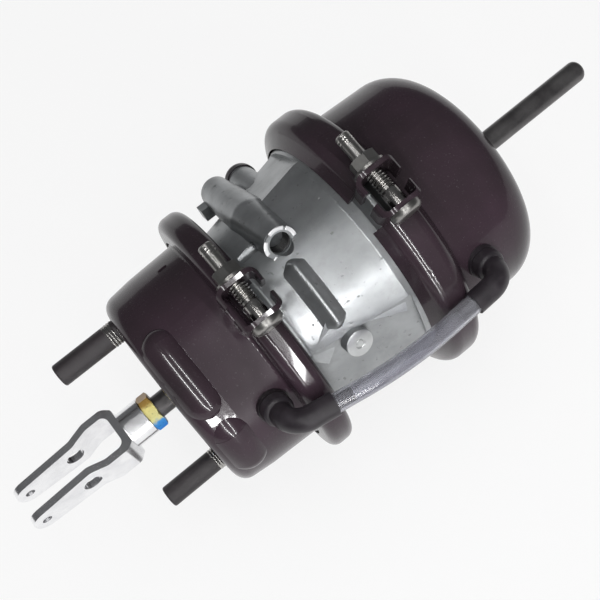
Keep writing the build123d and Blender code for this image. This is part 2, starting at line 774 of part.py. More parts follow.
def hubBush():
    start = foot_pocket + 3 + seat_gap
    groove = parking_rod_radius + seal_depth
    length = hub_rear - start
    bush = tube(start, hub_rear, bush_radius, parking_rod_radius + slide_gap)
    for share in (0.3, 0.7):
        middle = start + share * length
        bush -= tube(middle - seal_width / 2, middle + seal_width / 2, groove, 1)
    return bush


def hubSeals():
    start = foot_pocket + 3 + seat_gap
    length = hub_rear - start
    wide = seal_width / 2 - 0.1
    outer = parking_rod_radius + seal_depth - 0.1
    middles = [start + share * length for share in (0.3, 0.7)]
    return [tube(middle - wide, middle + wide, outer, parking_rod_radius + slide_gap) for middle in middles]


def parkingDiaphragm():
    flange = rearClamp
    rim = flange.rimRadius - seat_gap
    foot = parking_bead_foot + 0.5
    rear = parking_skin_front + diaphragm_thickness
    half = flange.beadHalf(foot, rear_sheet)
    return turned(outline(
        (parking_skin_front, 0), (parking_skin_front, pressure_plate_radius + 4, 4.0),
        (flange.plane - diaphragm_thickness / 2 + 1.5, foot - 4, 3.0),
        (flange.plane - half, foot), (flange.plane - flange.beadHalf(rim, rear_sheet), rim),
        (flange.plane + flange.beadHalf(rim, rear_sheet), rim), (flange.plane + half, foot),
        (flange.plane + diaphragm_thickness / 2 + 1.5, foot - 4, 1.0),
        (rear, pressure_plate_radius + 7, 7.0), (rear, 0)))


def pressurePlate():
    slot = release_head_length + 2
    plate = turned(outline(
        (plate_front, 0), (plate_front, pressure_plate_radius, 3.0),
        (plate_front + pressure_plate_rim, pressure_plate_radius, 1.5),
        (plate_front + pressure_plate_rim, pressure_plate_radius - 3, 1.0),
        (plate_rear, pressure_plate_radius - 4, 1.0), (plate_rear, pressure_hub_radius, 2.0),
        (plate_rear + pressure_hub_length, pressure_hub_radius, 1.5), (plate_rear + pressure_hub_length, 0)))
    plate -= tube(plate_rear, plate_rear + pressure_hub_length + 1, release_radius + 1)
    pocket = Pos(plate_rear + release_head_thickness / 2 + 1, 0, 0)
    plate -= pocket * Box(release_head_thickness + 1, 2 * release_radius + 1.5, slot)
    entry = Pos(plate_rear + pressure_hub_length / 2 + 1, 0, 0)
    plate -= entry * Box(pressure_hub_length + 2, slot, 2 * release_radius + 1.5)
    return plate


def releaseBolt():
    start = plate_rear + 1
    shank = turned(outline((start, 0), (start, release_radius), (release_end, release_radius, release_tip),
                           (release_end, 0)))
    head = Pos(start + release_head_thickness / 2, 0, 0)
    return shank + head * Box(release_head_thickness, 2 * release_radius, release_head_length)


def releaseWasher():
    start = recess_floor + seat_gap
    return tube(start, start + release_washer_thickness, release_washer_radius, release_radius + hole_gap)


def releaseNut():
    start = recess_floor + 2 * seat_gap + release_washer_thickness
    return hexagon(start, start + release_nut_height, release_nut_flats, release_radius + thread_gap)


def powerSpring():
    outer = power_radius + power_wire / 2
    inside = rear_dome_radius - rear_sheet
    seat = rear_end - rear_dome_radius + sqrt(inside ** 2 - outer ** 2)
    return coil(plate_rear + seat_gap, seat - seat_gap, power_radius, power_radius, power_wire, power_turns)


def serviceSpring():
    return coil(sheet + seat_gap, push_plate_front - seat_gap, service_spring_wide, service_spring_narrow,
                service_spring_wire, service_spring_turns)


def parkingSpring():
    return coil(web_front + web_thickness + seat_gap, parking_disc_front - seat_gap, parking_spring_radius,
                parking_spring_radius, parking_spring_wire, parking_spring_turns)


# ---- Breather line ----

def tubeRoute():
    """The corners of the clear tube's middle line, from the front spigot to the rear one."""
    share = (tube_end_x - tube_start_x) / 3
    rows = ((tube_start_x, elbow_front_out, breather_angle - 3.5),
            (tube_start_x + share, tube_bow, breather_angle - 6.5),
            (tube_end_x - share, tube_bow + 1, breather_rear_angle - 0.7),
            (tube_end_x, elbow_rear_out - 1, breather_rear_angle))
    return [onAxis(*row) for row in rows]


def elbow(rootX, rootRadius, rootAngle, mouth, beyond):
    """A rubber elbow from a hole in a housing to the tube's end, with a spigot inside the tube."""
    direction = (beyond - mouth).normalized()
    foot, collar = (onAxis(rootX, rootRadius + step, rootAngle) for step in (-elbow_foot, elbow_collar))
    knee = mouth - direction * ((mouth.X - rootX) / direction.X)
    body = pipe([foot, collar, knee, mouth], [elbow_bend, elbow_bend], elbow_radius - seat_gap)
    root = drill(onAxis(rootX, rootRadius + grommet_thickness + soft_gap, rootAngle), outward(rootAngle),
                 elbow_root_radius, elbow_root_length)
    root = fillet(root.edges().sort_by(lambda edge: edge.center().length)[-1], elbow_root_length / 3)
    spigot = drill(mouth - direction * 1.5, direction, tube_bore - seat_gap, spigot_length + 1.5)
    return body + root + spigot


def grommet(x, radius, angle):
    """The soft ring under an elbow's root."""
    ring = Circle(grommet_radius) - Circle(elbow_radius)
    return extrude(outwardPlane(x, radius - grommet_sink, angle) * ring, grommet_thickness + grommet_sink)


def breatherTube():
    route = tubeRoute()
    runs = [(b - a).length for a, b in zip(route, route[1:])]
    turns = [(b - a).get_angle(c - b) for a, b, c in zip(route, route[1:], route[2:])]
    radii = [0.45 * min(runs[i], runs[i + 1]) / tan(radians(turns[i] / 2)) for i in range(len(turns))]
    print("breather tube bend radii", [round(r) for r in radii])
    return pipe(route, radii, tube_radius) - pipe(route, radii, tube_bore)


# ---- Writing the nodes ----

def main():
    frontShell = frontHousing()
    rearShell = springHousing()
    route = tubeRoute()
    write("front_housing", frontShell)
    write("mounting_studs", *mountingStuds())
    write("dust_seal", dustSeal())
    write("service_pushrod", pushrod())
    write("push_plate", pushPlate())
    write("service_return_spring", serviceSpring())
    write("service_diaphragm", serviceDiaphragm())
    write("clevis", clevis())
    write("jam_nut", jamNut())
    for name, clamp in (("front_clamp", frontClamp), ("rear_clamp", rearClamp)):
        write(f"{name}_upper_half", clamp.upper())
        write(f"{name}_lower_half", clamp.lower())
        write(f"{name}_bolts", *clamp.bolts())
        write(f"{name}_washers", *clamp.washers())
        write(f"{name}_nuts", *clamp.nuts())
    write("flange_case", flangeCase())
    write("port_plug", portPlug())
    write("hub_bush", hubBush())
    write("hub_seals", *hubSeals())
    write("parking_foot", parkingFoot())
    write("parking_pushrod", parkingPushrod())
    write("parking_return_spring", parkingSpring())
    write("parking_diaphragm", parkingDiaphragm())
    write("pressure_plate", pressurePlate())
    write("power_spring", powerSpring())
    write("spring_housing", rearShell)
    write("release_bolt", releaseBolt())
    write("release_washer", releaseWasher())
    write("release_nut", releaseNut())
    write("breather_tube", breatherTube())
    frontElbow = elbow(vent_x, front_wall_radius, breather_angle, route[0], route[1])
    rearElbow = elbow(breather_rear_x, rear_wall_radius, breather_rear_angle, route[-1], route[-2])
    write("breather_elbow_front", frontElbow)
    write("breather_elbow_rear", rearElbow)
    frontGrommet = grommet(vent_x, front_wall_radius, breather_angle) - frontShell
    rearGrommet = grommet(breather_rear_x, rear_wall_radius, breather_rear_angle) - rearShell
    write("elbow_grommet_front", frontGrommet)
    write("elbow_grommet_rear", rearGrommet)


main()
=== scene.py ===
import json
import math

import bpy
from mathutils import Matrix, Vector

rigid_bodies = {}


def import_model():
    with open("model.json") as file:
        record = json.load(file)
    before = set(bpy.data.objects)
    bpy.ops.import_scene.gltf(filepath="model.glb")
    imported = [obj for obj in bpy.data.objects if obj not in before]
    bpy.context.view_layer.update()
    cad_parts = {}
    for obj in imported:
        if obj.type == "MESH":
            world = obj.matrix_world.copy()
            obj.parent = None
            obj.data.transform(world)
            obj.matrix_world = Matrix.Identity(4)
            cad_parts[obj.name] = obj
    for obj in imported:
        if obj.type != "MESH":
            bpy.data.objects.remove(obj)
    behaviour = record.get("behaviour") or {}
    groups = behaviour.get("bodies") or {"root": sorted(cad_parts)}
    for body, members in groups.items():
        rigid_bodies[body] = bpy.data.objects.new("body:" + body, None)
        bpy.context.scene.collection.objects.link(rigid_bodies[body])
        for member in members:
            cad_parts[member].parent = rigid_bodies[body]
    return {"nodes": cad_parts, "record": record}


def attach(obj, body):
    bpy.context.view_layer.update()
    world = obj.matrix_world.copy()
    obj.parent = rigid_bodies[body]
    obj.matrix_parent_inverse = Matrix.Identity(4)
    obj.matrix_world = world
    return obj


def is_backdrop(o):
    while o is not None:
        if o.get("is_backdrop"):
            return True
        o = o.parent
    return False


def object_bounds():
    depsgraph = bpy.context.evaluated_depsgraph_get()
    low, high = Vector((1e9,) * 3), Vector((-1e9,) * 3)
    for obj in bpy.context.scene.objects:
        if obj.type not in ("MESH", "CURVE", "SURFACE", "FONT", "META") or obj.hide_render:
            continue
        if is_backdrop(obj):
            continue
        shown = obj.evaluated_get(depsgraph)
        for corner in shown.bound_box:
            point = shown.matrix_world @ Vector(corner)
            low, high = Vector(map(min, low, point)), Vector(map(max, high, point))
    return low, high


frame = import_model()
record = frame["record"]
cadLow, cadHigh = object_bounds()
millimetre = 0.001
xAxis = (1.0, 0.0, 0.0)
# sideways in the view, square to the chamber's axis
acrossView = (0.0, 0.9135, 0.4067)
smoothAngle = 35.0
print("frame loaded:", len(frame["nodes"]), "nodes")


class Value:
    def __init__(self, nodes, socket):
        self.nodes = nodes
        self.socket = socket

    def maths(self, operation, other, swapped=False, clamp=False):
        first, second = (other, self) if swapped else (self, other)
        return self.nodes.node(
            "ShaderNodeMath", {"operation": operation, "use_clamp": clamp}, {0: first, 1: second})

    def __add__(self, other):
        return self.maths("ADD", other)

    def __sub__(self, other):
        return self.maths("SUBTRACT", other)

    def __mul__(self, other):
        return self.maths("MULTIPLY", other)

    def __truediv__(self, other):
        return self.maths("DIVIDE", other)

    def __radd__(self, other):
        return self.maths("ADD", other, swapped=True)

    def __rsub__(self, other):
        return self.maths("SUBTRACT", other, swapped=True)

    def __rmul__(self, other):
        return self.maths("MULTIPLY", other, swapped=True)

    def larger(self, other):
        return self.maths("MAXIMUM", other)

    def clamped(self):
        return self.maths("ADD", 0.0, clamp=True)


class Nodes:
    def __init__(self, tree):
        self.tree = tree

    def node(self, kind, settings=None, inputs=None, output=None):
        made = self.tree.nodes.new(kind)
        for key, value in (settings or {}).items():
            if key == "stops":
                ramp = made.color_ramp
                while len(ramp.elements) < len(value):
                    ramp.elements.new(0.5)
                for stop, (place, colour) in zip(ramp.elements, value):
                    stop.position = place
                    stop.color = (*colour, 1.0)
            else:
                setattr(made, key, value)
        for key, value in (inputs or {}).items():
            self.feed(self.socketOf(made, key), value)
        shown = [socket for socket in made.outputs if socket.enabled]
        return Value(self, made.outputs[output] if output else shown[0])

    def socketOf(self, made, key):
        if isinstance(key, int):
            return made.inputs[key]
        return [socket for socket in made.inputs if socket.name == key and socket.enabled][0]

    def feed(self, socket, value):
        if isinstance(value, Value):
            self.tree.links.new(value.socket, socket)
        elif isinstance(value, tuple) and len(value) == 3 and socket.type == "RGBA":
            socket.default_value = (*value, 1.0)
        else:
            socket.default_value = value

    def between(self, value, low, high, start=0.0, end=1.0):
        return self.node("ShaderNodeMapRange", {"clamp": True},
                         {"Value": value, "From Min": low, "From Max": high,
                          "To Min": start, "To Max": end})

    def ray(self, kind):
        return self.node("ShaderNodeLightPath", output=kind)

    def seenByCamera(self):
        # straight, or through the clear tube
        return self.ray("Is Camera Ray").larger(self.ray("Is Transmission Ray"))


class Finish(Nodes):
    def __init__(self, name):
        self.material = bpy.data.materials.new(name)
        self.material.use_nodes = True
        super().__init__(self.material.node_tree)
        self.tree.nodes.clear()
        self.shader = self.tree.nodes.new("ShaderNodeBsdfPrincipled")
        self.out = self.tree.nodes.new("ShaderNodeOutputMaterial")
        self.tree.links.new(self.shader.outputs[0], self.out.inputs["Surface"])

    def place(self):
        return self.node("ShaderNodeTexCoord", output="Object")

    def noise(self, scale, detail=2.0, rough=0.5, stretch=(1.0, 1.0, 1.0), shift=(0.0, 0.0, 0.0)):
        spot = self.place()
        if stretch != (1.0, 1.0, 1.0) or shift != (0.0, 0.0, 0.0):
            spot = self.node("ShaderNodeMapping", None,
                             {"Vector": spot, "Scale": stretch, "Location": shift})
        return self.node("ShaderNodeTexNoise", None,
                         {"Vector": spot, "Scale": scale, "Detail": detail, "Roughness": rough},
                         output="Fac")

    def ramp(self, value, stops):
        return self.node("ShaderNodeValToRGB", {"stops": stops}, {0: value}, output="Color")

    def blendColours(self, mask, first, second):
        return self.node("ShaderNodeMix", {"data_type": "RGBA"},
                         {"Factor": mask, "A": first, "B": second})

    def along(self, direction):
        # how far a point lies along a direction, in metres
        return self.node("ShaderNodeVectorMath", {"operation": "DOT_PRODUCT"},
                         {0: self.place(), 1: direction}, output="Value")

    def bump(self, height, depth, strength=1.0):
        return self.node("ShaderNodeBump", None,
                         {"Strength": strength, "Distance": depth, "Height": height})

    def set(self, **inputs):
        for name, value in inputs.items():
            self.feed(self.shader.inputs[name.replace("_", " ")], value)


def gloss(name, colour, tint, rough, coat):
    # baked enamel: slow waves from the press, a fine peel, and dust in places
    made = Finish(name)
    patches = made.noise(14.0, 3.0, 0.55)
    dust = made.between(made.noise(900.0, 3.0, 0.7), 0.62, 0.78)
    waves = made.noise(60.0, 1.0, 0.4)
    peel = made.noise(520.0, 1.0, 0.5)
    base = made.blendColours(made.between(patches, 0.35, 0.65), colour, tint)
    made.set(Base_Color=made.blendColours(dust * 0.25, base, (0.10, 0.095, 0.10)),
             Roughness=rough + dust * 0.12 + made.between(patches, 0.4, 0.7) * 0.03,
             Specular_IOR_Level=0.12, Coat_Weight=coat, Coat_Roughness=0.04,
             Normal=made.bump(waves + peel * 0.06, 0.00035, 0.5))
    return made.material


def metal(name, colour, stain, rough, grain=900.0, depth=0.00004, stretch=(1.0, 1.0, 1.0),
          metallic=1.0, uneven=0.12):
    # slow stains, and a fine grain that also roughens the surface
    made = Finish(name)
    cloud = made.noise(60.0, 4.0, 0.6, shift=(0.31, 0.17, 0.05))
    fine = made.noise(grain, 3.0, 0.6, stretch)
    made.set(Base_Color=made.blendColours(made.between(cloud, 0.38, 0.68), colour, stain),
             Roughness=(rough + (fine - 0.5) * uneven + (cloud - 0.5) * uneven).clamped(),
             Metallic=metallic, Normal=made.bump(fine, depth, 0.6))
    return made.material


def rubber(name, colour, rough):
    # a paler bloom in places over a fine grain
    made = Finish(name)
    grain = made.noise(1500.0, 2.0, 0.6)
    bloom = made.between(made.noise(90.0, 4.0, 0.6), 0.45, 0.75)
    lighter = tuple(min(1.0, part * 1.9 + 0.012) for part in colour)
    made.set(Base_Color=made.blendColours(bloom * 0.6, colour, lighter),
             Roughness=rough + bloom * 0.1, Specular_IOR_Level=0.4,
             Normal=made.bump(grain, 0.00003, 0.5))
    return made.material


def castMetal(name, colour, pale, dull, pitColour, rough):
    # sand-cast skin with flow marks, duller mottling and small pits
    made = Finish(name)
    flow = made.noise(16.0, 4.0, 0.6, (1.0, 1.6, 1.0))
    mottle = made.noise(85.0, 5.0, 0.65)
    skin = made.noise(1100.0, 3.0, 0.6)
    pits = made.between(made.noise(240.0, 2.0, 0.5, shift=(0.2, 0.5, 0.1)), 0.66, 0.74)
    base = made.blendColours(made.between(flow, 0.35, 0.68), colour, pale)
    base = made.blendColours(made.between(mottle, 0.5, 0.72) * 0.35, base, dull)
    made.set(Base_Color=made.blendColours(pits * 0.5, base, pitColour),
             Metallic=0.82,
             Roughness=rough + (mottle - 0.5) * 0.18 + pits * 0.2,
             Normal=made.bump(mottle * 0.5 + skin * 0.35 - pits * 1.2, 0.00010, 0.75))
    return made.material


def yellowZinc(name, reach, filmAndShade):
    # chromate film: its colour runs from blue through yellow across the nut, and the darker brown
    # at the top end is painted shade
    made = Finish(name)
    across = made.along(acrossView) / reach + (made.noise(220.0, 3.0, 0.6) - 0.5) * 0.5
    made.set(Base_Color=made.ramp(made.between(across, -1.0, 1.0), filmAndShade),
             Metallic=0.7, Roughness=0.30 + (made.noise(700.0) - 0.5) * 0.15,
             Normal=made.bump(made.noise(500.0, 2.0), 0.00001, 0.5))
    return made.material


def sealRubber(name, painted, clean, centre, lean, edge):
    # the clean colour where the ring shows below the elbow, painted over elsewhere
    made = Finish(name)
    low = lean[0] * Vector(xAxis) - lean[1] * Vector(acrossView)
    reach = made.along(tuple(low)) - low.dot(Vector(centre) * millimetre)
    made.set(Base_Color=made.blendColours(made.between(reach, *edge), painted, clean),
             Roughness=0.34 + (made.noise(700.0) - 0.5) * 0.1, Specular_IOR_Level=0.4,
             Normal=made.bump(made.noise(1400.0, 2.0), 0.00003, 0.5))
    return made.material


def clearPlastic(name, colour, haze):
    # streaks of haze along the tube, which also roughen it
    made = Finish(name)
    streaks = made.noise(70.0, 3.0, 0.6, (0.25, 1.0, 1.0))
    made.set(Base_Color=made.blendColours(made.between(streaks, 0.35, 0.7), colour, haze),
             Roughness=made.between(streaks, 0.3, 0.7, 0.05, 0.2),
             IOR=1.42, Transmission_Weight=0.86,
             Normal=made.bump(streaks, 0.0002, 0.3))
    return made.material


finishes = {
    "black_paint": gloss(
        "blackEnamel", colour=(0.011, 0.008, 0.0095), tint=(0.017, 0.0105, 0.0145),
        rough=0.22, coat=0.26),
    "black_stud": metal(
        "studSleeve", colour=(0.022, 0.018, 0.020), stain=(0.040, 0.034, 0.037),
        rough=0.48, grain=1200.0, depth=0.00003, metallic=0.0),
    "zinc_steel": metal(
        "zincPlate", colour=(0.36, 0.352, 0.338), stain=(0.24, 0.236, 0.226),
        rough=0.34, grain=600.0, depth=0.000012, uneven=0.08),
    "black_rubber": rubber("blackRubber", colour=(0.022, 0.018, 0.022), rough=0.38),
    "blue_rubber": sealRubber(
        "sealRubber", painted=(0.014, 0.011, 0.013), clean=(0.02, 0.20, 0.78),
        centre=(46.0, -68.6, 43.9), lean=(-0.55, 0.835), edge=(0.0085, 0.0089)),
    "dark_steel": metal(
        "darkSteel", colour=(0.085, 0.080, 0.082), stain=(0.14, 0.135, 0.135),
        rough=0.36, grain=1000.0, depth=0.00003, metallic=0.7),
    "spring_steel": metal(
        "springSteel", colour=(0.20, 0.20, 0.21), stain=(0.13, 0.12, 0.12), rough=0.34),
    "spring_paint": metal(
        "springPaint", colour=(0.05, 0.085, 0.05), stain=(0.03, 0.05, 0.03),
        rough=0.4, metallic=0.0),
    "diaphragm_rubber": rubber("diaphragmRubber", colour=(0.025, 0.025, 0.025), rough=0.55),
    "bright_steel": metal(
        "brightSteel", colour=(0.94, 0.94, 0.95), stain=(0.80, 0.80, 0.82),
        rough=0.22, grain=700.0, depth=0.00001, stretch=(0.2, 1.0, 1.0), uneven=0.08),
    # the film runs blue, then yellow, then a darker brown at the top end, which is painted shade
    "yellow_zinc": yellowZinc(
        "yellowZinc", reach=0.013, filmAndShade=(
            (0.0, (0.03, 0.20, 0.62)), (0.17, (0.05, 0.30, 0.70)), (0.27, (0.78, 0.74, 0.34)),
            (0.62, (0.80, 0.70, 0.26)), (0.74, (0.36, 0.22, 0.05)), (1.0, (0.20, 0.11, 0.03)))),
    "cast_aluminium": castMetal(
        "castAluminium", colour=(0.26, 0.27, 0.275), pale=(0.41, 0.42, 0.43),
        dull=(0.20, 0.205, 0.202), pitColour=(0.16, 0.16, 0.155), rough=0.33),
    "black_plastic": rubber("blackPlastic", colour=(0.025, 0.021, 0.024), rough=0.3),
    "bush_nylon": rubber("bushNylon", colour=(0.62, 0.60, 0.53), rough=0.45),
    "clear_tube": clearPlastic(
        "clearTube", colour=(0.42, 0.42, 0.47), haze=(0.70, 0.70, 0.74)),
}
workedFinishes = {
    # near white and hardly metallic, so the port's machined ring reads white from every side:
    # painted highlight
    "paintedGlint": metal(
        "glintPaintedFace", colour=(0.93, 0.93, 0.94), stain=(0.84, 0.84, 0.85),
        rough=0.22, grain=500.0, depth=0.00003, metallic=0.3),
    "pad": metal(
        "padFace", colour=(0.62, 0.63, 0.63), stain=(0.50, 0.51, 0.51),
        rough=0.34, grain=700.0),
    "thread": metal(
        "threadSteel", colour=(0.46, 0.45, 0.43), stain=(0.30, 0.29, 0.28),
        rough=0.26, grain=600.0, depth=0.00001, uneven=0.06),
    # near black: painted shade for the deep, unlit port bore
    "paintedBoreShade": metal(
        "boreShade", colour=(0.06, 0.06, 0.06), stain=(0.03, 0.03, 0.03), rough=0.45),
}
print("finishes made:", len(finishes) + len(workedFinishes))


def dress(piece, finish):
    piece.data.materials.clear()
    piece.data.materials.append(finish)


for part in record["subparts"]:
    dress(frame["nodes"][part["node"]], finishes[part["material_slot"]])
print("parts dressed")


def clearSelection():
    if bpy.context.mode != "OBJECT":
        bpy.ops.object.mode_set(mode="OBJECT")
    bpy.ops.object.select_all(action="DESELECT")


def choose(piece):
    clearSelection()
    bpy.context.view_layer.objects.active = piece
    piece.select_set(True)


def applyModifier(piece, kind, **settings):
    choose(piece)
    added = piece.modifiers.new(kind.title(), kind)
    for key, value in settings.items():
        setattr(added, key, value)
    bpy.ops.object.modifier_apply(modifier=added.name)
    clearSelection()


def drawn(name, points, closed=False):
    # one vertex, then an extrude for each step of a profile in the XZ plane, in millimetres
    clearSelection()
    bpy.ops.mesh.primitive_plane_add(size=millimetre, location=(0.0, 0.0, 0.0))
    piece = bpy.context.active_object
    piece.name = name
    bpy.ops.object.mode_set(mode="EDIT")
    bpy.ops.mesh.merge(type="CENTER")
    corners = [Vector((x, 0.0, z)) * millimetre for x, z in points]
    bpy.ops.transform.translate(value=corners[0])
    for start, end in zip(corners, corners[1:]):
        bpy.ops.mesh.extrude_region_move(TRANSFORM_OT_translate={"value": end - start})
    if closed:
        bpy.ops.mesh.select_all(action="SELECT")
        bpy.ops.mesh.edge_face_add()
    bpy.ops.object.mode_set(mode="OBJECT")
    return piece


def spun(piece, steps, angle):
    # turns a drawn profile round X, by an angle in degrees
    choose(piece)
    bpy.ops.object.mode_set(mode="EDIT")
    bpy.ops.mesh.select_all(action="SELECT")
    bpy.ops.mesh.spin(steps=steps, angle=math.radians(angle), center=(0.0, 0.0, 0.0), axis=xAxis)
    clearSelection()
    return piece


def cleaned(piece, weld=None):
    # joins vertices closer than weld, in metres, and turns every face outwards
    choose(piece)
    bpy.ops.object.mode_set(mode="EDIT")
    bpy.ops.mesh.select_all(action="SELECT")
    if weld:
        bpy.ops.mesh.remove_doubles(threshold=weld)
    bpy.ops.mesh.normals_make_consistent(inside=False)
    bpy.ops.mesh.select_all(action="DESELECT")
    clearSelection()
    return piece


coarseWeld = 0.00001
fineWeld = 0.000001
threadForm = {
    "flankShare": 0.46,
    "crestShare": 0.09,
}


def turnedPiece(name, points, steps):
    # a profile from axis to axis, spun round X
    return cleaned(spun(drawn(name, points), steps, 360.0), coarseWeld)


def helix(name, start, turns, pitch, root, crest, sunk, steps):
    # a thread's ridge: its flank outline carried along a helix, the two ends left open
    flank = pitch * threadForm["flankShare"]
    tip = pitch * threadForm["crestShare"]
    outline = [(start - flank, root - sunk), (start + flank, root - sunk), (start + flank, root),
               (start + tip, crest), (start - tip, crest), (start - flank, root)]
    piece = drawn(name, outline, closed=True)
    applyModifier(piece, "SCREW", axis="X", angle=2 * math.pi, screw_offset=pitch * millimetre,
                  iterations=turns, steps=steps, render_steps=steps, use_merge_vertices=True,
                  merge_threshold=fineWeld)
    return cleaned(piece)


def joined(name, *pieces):
    clearSelection()
    for piece in pieces:
        piece.select_set(True)
    bpy.context.view_layer.objects.active = pieces[0]
    bpy.ops.object.join()
    pieces[0].name = name
    pieces[0].data.name = name
    clearSelection()
    return pieces[0]


def smooth(piece):
    choose(piece)
    bpy.ops.object.shade_smooth_by_angle(angle=math.radians(smoothAngle))
    clearSelection()


def placed(piece, matrix):
    piece.data.transform(matrix)
    piece.data.update()
    return piece


def copied(piece, name, matrix):
    other = bpy.data.objects.new(name, piece.data.copy())
    bpy.context.scene.collection.objects.link(other)
    return placed(other, matrix)


def finished(piece, body, slot, finish=None):
    smooth(piece)
    dress(piece, finish or finishes[slot])
    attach(piece, body)


def aroundChamber(angle):
    # turns what stands at the top of the chamber to an angle round it, in degrees
    return Matrix.Rotation(-math.radians(angle), 4, "X")


def shifted(x, reach):
    return Matrix.Translation(Vector((x, 0.0, reach)) * millimetre)


quarterTurn = math.pi / 2
halves = {"upper": 0.0, "lower": 180.0}

clampBolts = {
    "jointAngle": -16.85,
    "rings": {"front": (70.6, 107.25), "rear": (172.2, 113.65)},
    "shankRadius": 4.75,
    "threadPitch": 2.0,
    "threadTurns": 6,
    "threadStart": 0.2,
    "threadCrest": 5.45,
    "threadSunk": 0.6,
    "threadSteps": 24,
    "tipTurns": 2,
    "tipStart": 34.6,
    "tipCrest": 4.98,
    "neckRadius": 5.55,
    "neckSpan": (-11.9, -0.6),
    "neckBevel": 0.9,
    "neckStep": 0.2,
    "neckSteps": 40,
}
spec = clampBolts
gapThread = helix("gapThread", spec["threadStart"], spec["threadTurns"], spec["threadPitch"],
                  spec["shankRadius"], spec["threadCrest"], spec["threadSunk"], spec["threadSteps"])
tipThread = helix("tipThread", spec["tipStart"], spec["tipTurns"], spec["threadPitch"],
                  spec["shankRadius"], spec["tipCrest"], spec["threadSunk"], spec["threadSteps"])
neckStart, neckEnd = spec["neckSpan"]
boltNeck = turnedPiece("boltNeck", [
    (neckStart, 0.0),
    (neckStart, spec["neckRadius"]),
    (neckEnd - spec["neckBevel"], spec["neckRadius"]),
    (neckEnd, spec["shankRadius"] + spec["neckStep"]),
    (neckEnd, 0.0)], spec["neckSteps"])
boltDress = joined("boltDress", gapThread, tipThread, boltNeck)
for ring, (plane, reach) in spec["rings"].items():
    for name, turn in halves.items():
        place = (aroundChamber(spec["jointAngle"] + turn) @ shifted(plane, reach)
                 @ Matrix.Rotation(quarterTurn, 4, "Z"))
        finished(copied(boltDress, f"{ring}_{name}_bolt_thread", place), "chamber", "zinc_steel",
                 workedFinishes["thread"])
bpy.data.objects.remove(boltDress)
print("clamp bolts threaded")

studDetail = {
    "spacing": 120.65,
    "angle": 39.5,
    "radius": 8.0,
    "threadPitch": 2.0,
    "threadTurns": 3,
    "threadStart": -7.2,
    "threadCrest": 8.4,
    "threadSunk": 0.5,
    "threadSteps": 32,
}
spec = studDetail
studThread = helix("studThread", spec["threadStart"], spec["threadTurns"], spec["threadPitch"],
                   spec["radius"], spec["threadCrest"], spec["threadSunk"], spec["threadSteps"])
for name, turn in halves.items():
    place = aroundChamber(spec["angle"] + turn) @ shifted(0.0, spec["spacing"] / 2)
    finished(copied(studThread, f"{name}_stud_thread", place), "chamber", "zinc_steel",
             workedFinishes["thread"])
bpy.data.objects.remove(studThread)
print("studs threaded")

portDetail = {
    "x": 110.3,
    "mouthReach": 80.0,
    "mouthAngle": -1.5,
    "facing": -62.0,
    "ringInner": 8.9,
    "ringOuter": 11.5,
    "ringLift": 1.05,
    "ringThickness": 0.7,
    "ringBevel": 0.18,
    "arcs": ((8.0, 52.0), (80.0, 44.0), (140.0, 66.0), (222.0, 50.0), (290.0, 58.0)),
    "arcSteps": 14,
    "threadStart": -10.0,
    "threadTurns": 6,
    "threadPitch": 1.5,
    "threadRoot": 7.3,
    "threadCrest": 6.5,
    "threadSunk": -0.4,
    "threadSteps": 32,
}
spec = portDetail
mouth = aroundChamber(spec["mouthAngle"]) @ Vector((spec["x"], 0.0, spec["mouthReach"]))
mouthPlace = (Matrix.Translation(mouth * millimetre) @ aroundChamber(spec["facing"])
              @ Matrix.Rotation(-quarterTurn, 4, "Y"))
# five near-white arcs on the port's machined mouth stand for its broken highlight glints: painted
# highlight
arcs = []
for start, sweep in spec["arcs"]:
    edge = [(spec["ringLift"], spec["ringInner"]), (spec["ringLift"], spec["ringOuter"])]
    arc = spun(drawn("portGlintArc", edge), spec["arcSteps"], sweep)
    applyModifier(arc, "SOLIDIFY", thickness=spec["ringThickness"] * millimetre, offset=0.0)
    applyModifier(arc, "BEVEL", width=spec["ringBevel"] * millimetre, segments=2)
    arcs.append(placed(arc, Matrix.Rotation(math.radians(start), 4, "X")))
portRing = placed(joined("service_port_glint_ring", *arcs), mouthPlace)
finished(portRing, "chamber", "cast_aluminium", workedFinishes["paintedGlint"])
# the port bore's thread, in near black as painted shade for the unlit hole
boreThread = helix("service_port_thread", spec["threadStart"], spec["threadTurns"],
                   spec["threadPitch"], spec["threadRoot"], spec["threadCrest"],
                   spec["threadSunk"], spec["threadSteps"])
finished(placed(boreThread, mouthPlace), "chamber", "cast_aluminium", workedFinishes["paintedBoreShade"])
print("service port dressed")

# a rounded skin over the case's ridge, sunk row by row into the case at both ends
ridgeDetail = {
    "x": 107.7,
    "crest": 81.6,
    "halfWidth": 10.0,
    "spread": 0.55,
    "lowFront": 73.2,
    "lowRear": 77.5,
    "rootDepth": 2.0,
    "profileSteps": 20,
    "span": (-9.2, -49.8),
    "steps": 40,
    "fade": (6.0, 4.0, 2.2, 0.9, 0.2),
}
spec = ridgeDetail
profile = []
for step in range(spec["profileSteps"] + 1):
    share = 2 * step / spec["profileSteps"] - 1.0
    low = (spec["lowFront"] + spec["lowRear"] + share * (spec["lowRear"] - spec["lowFront"])) / 2
    swell = math.exp(-(share / spec["spread"]) ** 2)
    profile.append((spec["x"] + share * spec["halfWidth"], low + (spec["crest"] - low) * swell))
profile.append((spec["x"] + spec["halfWidth"], spec["lowRear"] - spec["rootDepth"]))
profile.append((spec["x"] - spec["halfWidth"], spec["lowFront"] - spec["rootDepth"]))
startAngle, endAngle = spec["span"]
castRidge = drawn("case_ridge_skin", profile, closed=True)
cleaned(spun(castRidge, spec["steps"], endAngle - startAngle), fineWeld)
placed(castRidge, aroundChamber(startAngle))
stepAngle = (startAngle - endAngle) / spec["steps"]
